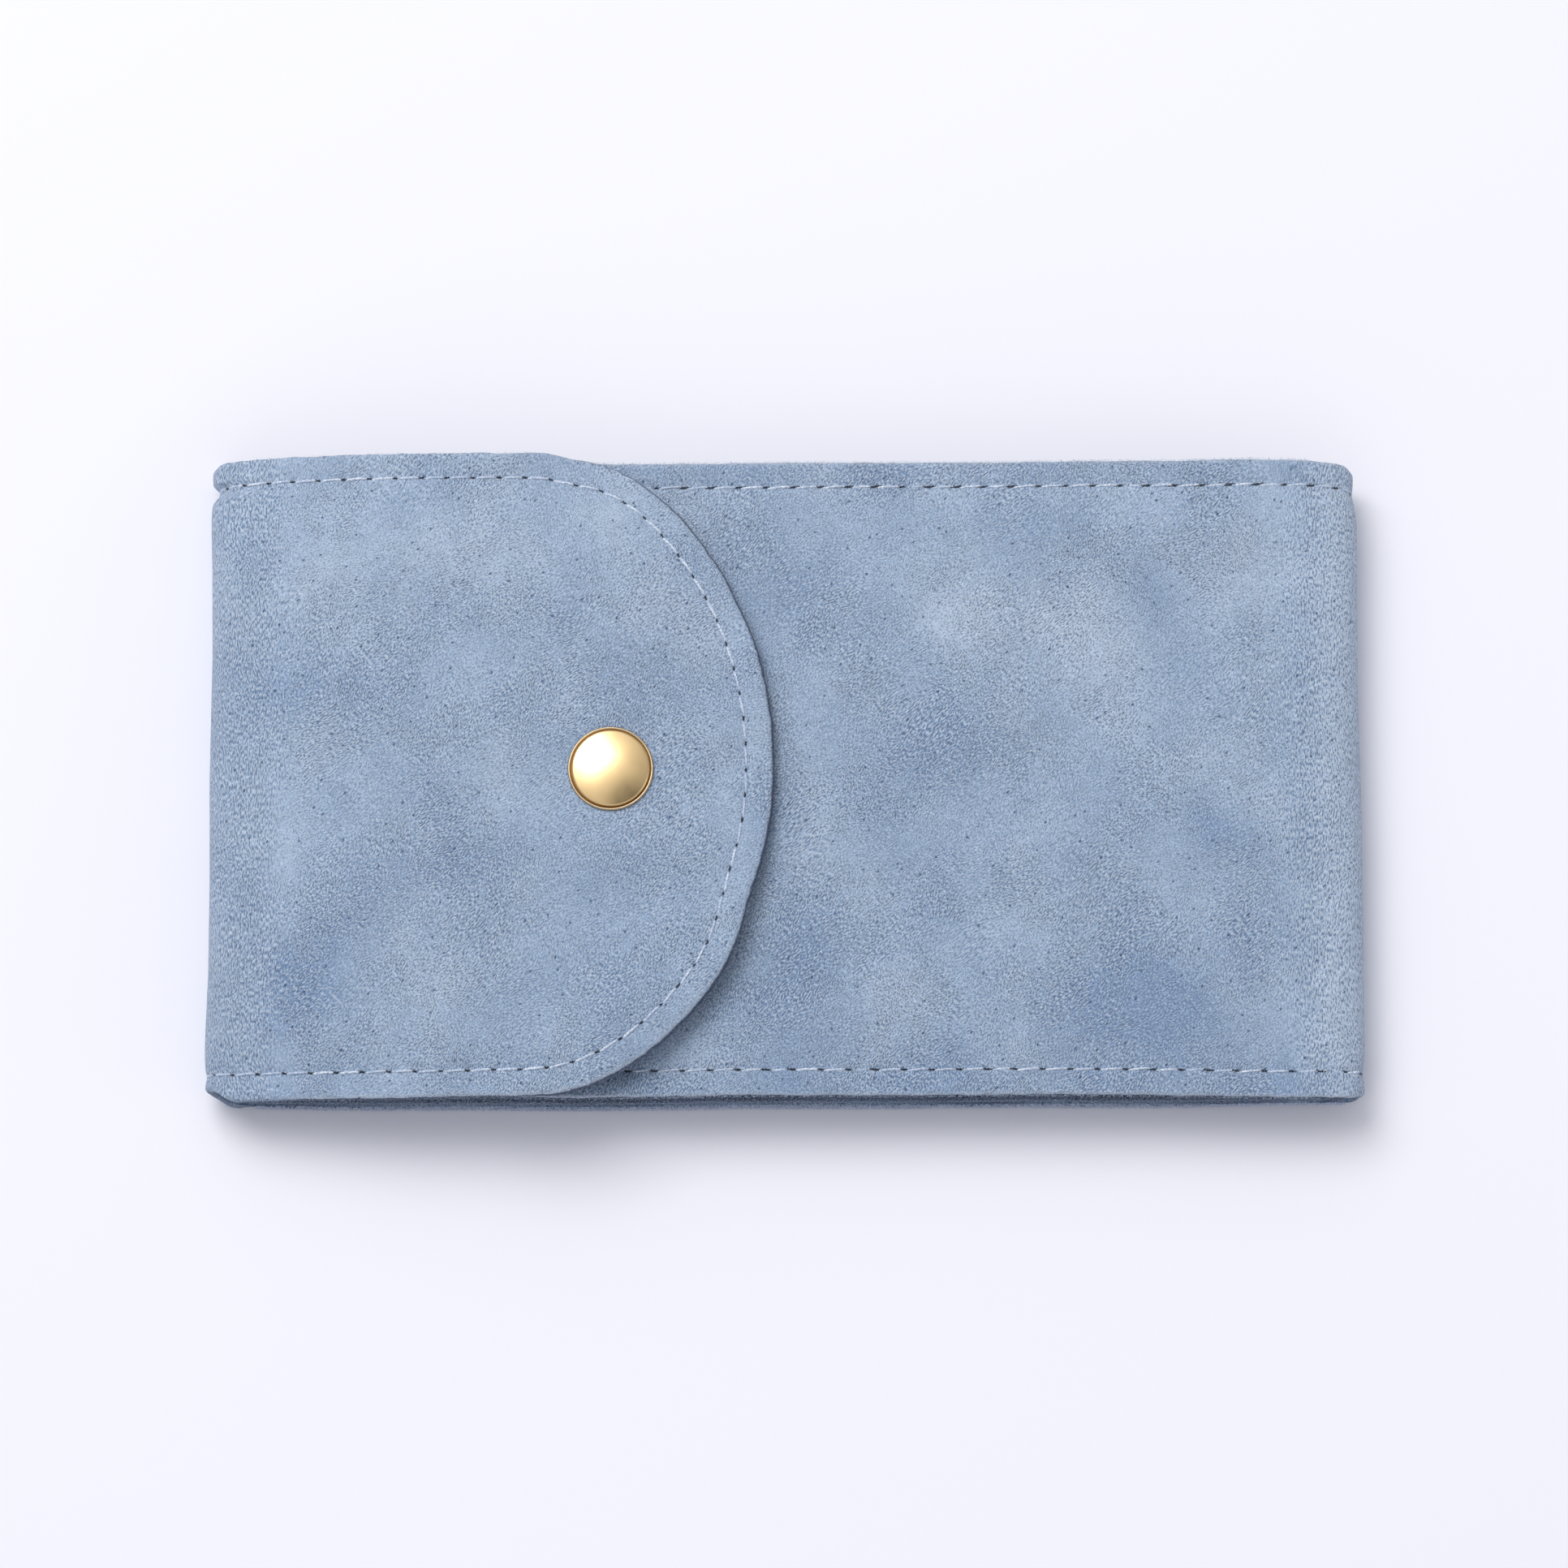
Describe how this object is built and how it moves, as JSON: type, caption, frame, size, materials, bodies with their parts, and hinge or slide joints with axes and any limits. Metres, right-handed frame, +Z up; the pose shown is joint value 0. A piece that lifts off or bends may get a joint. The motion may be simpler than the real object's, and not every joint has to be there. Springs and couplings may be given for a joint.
{
  "type": "watch pouch",
  "caption": "Flat suede watch pouch with side gussets, a rounded fold-over flap and a brass snap fastener.",
  "frame": {"origin": "middle of the footprint, on the surface that the back panel lies on", "axes": "+X along the length from the flap's fold to the end fold, +Y across to the far side, +Z up out of the front panel"},
  "size_m": [0.14, 0.0798, 0.0138],
  "materials": {
    "suede": "blue-grey suede, brushed nap, raw cut edges",
    "lining": "smooth microfibre",
    "stiffener": "plain non-woven sheet",
    "brass": "polished",
    "spring_steel": "bright drawn wire"
  },
  "bodies": {
    "pouch": {"outer_shell": "suede", "shell_lining": "lining", "front_stiffener": "stiffener", "back_stiffener": "stiffener", "near_gusset": "suede", "far_gusset": "suede", "snap_stud": "brass", "stud_eyelet": "brass"},
    "fold": {"fold_outer": "suede", "fold_lining": "lining"},
    "flap": {"flap_outer": "suede", "flap_lining": "lining", "flap_stiffener": "stiffener", "snap_cap": "brass", "cap_post": "brass", "snap_socket": "brass", "socket_spring": "spring_steel"}
  },
  "joints": [
    {"name": "fold_lower", "type": "hinge", "parent": "pouch", "child": "fold", "pos_m": [-0.06854, 0, 0.00146], "axis": [0, -1, 0], "range_deg": [0, 87]},
    {"name": "fold_upper", "type": "hinge", "parent": "fold", "child": "flap", "pos_m": [-0.06854, 0, 0.00854], "axis": [0, -1, 0], "range_deg": [0, 87]}
  ],
  "couplings": [
    {"joint": "fold_upper", "follows": "fold_lower", "ratio": 1}
  ]
}
